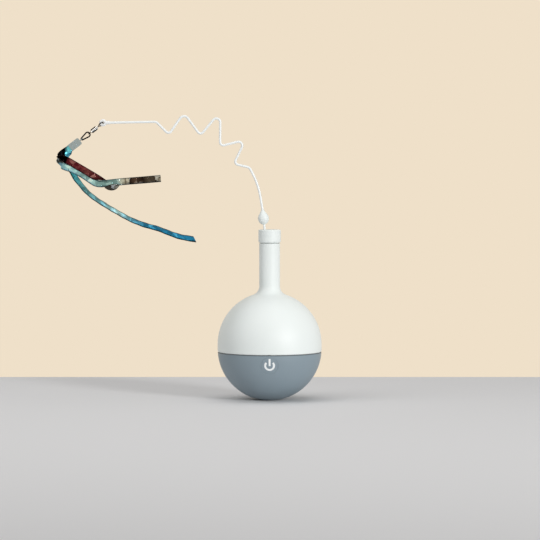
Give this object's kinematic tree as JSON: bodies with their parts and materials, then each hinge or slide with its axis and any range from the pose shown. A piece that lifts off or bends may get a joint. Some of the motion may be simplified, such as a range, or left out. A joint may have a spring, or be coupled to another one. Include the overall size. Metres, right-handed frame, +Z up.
{
  "type": "self-rotating cat ball toy",
  "caption": "Weighted two-tone tumbler ball with a neck, whose motor turns a cap and its springy zigzag wand, with foil ribbons on a swivel and snap, to tease a cat.",
  "frame": {"origin": "middle of the flat under the ball, which it stands on", "axes": "+Z up the neck's axis, -Y out of the power button's side, -X towards the wand's far end"},
  "size_m": [0.2039, 0.08, 0.2189],
  "materials": {
    "white_shell": "satin moulded",
    "grey_shell": "satin moulded",
    "sign_white": "satin",
    "wand_white": "coated spring wire",
    "eyelet_clear": "milky",
    "steel": "bright",
    "clip_metal": "satin",
    "film_red": "metallised film",
    "film_silver": "metallised film",
    "film_blue": "metallised film",
    "iron": "raw",
    "black_plastic": "moulded",
    "gear_plastic": "moulded",
    "board": "lacquered",
    "brass": "turned",
    "cell_wrap": "shrink wrap",
    "lead_skin": "insulation"
  },
  "bodies": {
    "body": {"lower_shell": "grey_shell", "upper_shell": "white_shell", "ballast": "iron", "ballast_screws": "steel", "battery_cradle": "black_plastic", "battery_cell": "cell_wrap", "battery_contacts": "brass", "main_board": "board", "board_parts": "black_plastic", "board_screws": "steel", "usb_socket": "steel", "usb_tongue": "black_plastic", "switch_board": "board", "switch_screws": "steel", "switch_body": "black_plastic", "chassis": "black_plastic", "chassis_screws": "steel", "motor_can": "steel", "motor_endcap": "black_plastic", "motor_terminals": "brass", "motor_screws": "steel", "idler_axle": "steel", "lower_bush": "brass", "plate_bush": "brass", "neck_bush": "brass", "thrust_washer": "gear_plastic", "gear_plate": "black_plastic", "plate_screws": "steel", "battery_leads": "lead_skin", "motor_leads": "lead_skin", "switch_leads": "lead_skin"},
    "spinner": {"spinner_cap": "white_shell", "output_shaft": "steel", "output_gear": "gear_plastic", "wand": "wand_white", "wand_bead": "wand_white", "wand_eyelet": "eyelet_clear"},
    "idler": {"compound_gear": "gear_plastic"},
    "rotor": {"motor_shaft": "steel", "motor_pinion": "brass"},
    "button": {"power_button": "grey_shell", "icon_inlay": "sign_white", "switch_plunger": "gear_plastic"},
    "swivel": {"swivel_eye": "steel"},
    "barrel": {"swivel_barrel": "steel", "snap_eye": "steel"},
    "snap_link": {"snap": "steel"},
    "streamer": {"ribbon_clip": "clip_metal", "ribbon_red": "film_red", "ribbon_silver": "film_silver", "ribbon_blue": "film_blue"}
  },
  "joints": [
    {"name": "cap_spin", "type": "hinge", "parent": "body", "child": "spinner", "pos_m": [0, 0, 0.12], "axis": [0, 0, 1], "continuous": true},
    {"name": "idler_spin", "type": "hinge", "parent": "body", "child": "idler", "pos_m": [0.01299, 0.0075, 0.045], "axis": [0, 0, 1], "continuous": true},
    {"name": "rotor_spin", "type": "hinge", "parent": "body", "child": "rotor", "pos_m": [0, 0.015, 0.042], "axis": [0, 0, 1], "continuous": true},
    {"name": "button_press", "type": "slide", "parent": "body", "child": "button", "axis": [0, 0.9659, 0.2588], "range_m": [0, 0.0005], "stiffness_N_per_m": 500, "springref_m": -0.001},
    {"name": "swivel_swing", "type": "hinge", "parent": "spinner", "child": "swivel", "pos_m": [-0.1279, 0, 0.21298], "axis": [0, 1, 0], "range_deg": [-60, 40]},
    {"name": "swivel_spin", "type": "hinge", "parent": "swivel", "child": "barrel", "pos_m": [-0.13186, 0, 0.20993], "axis": [-0.7912, 0, -0.6115], "continuous": true},
    {"name": "snap_swing", "type": "hinge", "parent": "barrel", "child": "snap_link", "pos_m": [-0.13819, 0, 0.20503], "axis": [0, 1, 0], "range_deg": [-25, 25]},
    {"name": "clip_swing", "type": "hinge", "parent": "snap_link", "child": "streamer", "pos_m": [-0.14444, 0, 0.2002], "axis": [0.6115, 0, -0.7912], "range_deg": [-60, 60]}
  ],
  "couplings": [
    {"joint": "idler_spin", "follows": "cap_spin", "ratio": -4},
    {"joint": "rotor_spin", "follows": "cap_spin", "ratio": 16}
  ]
}
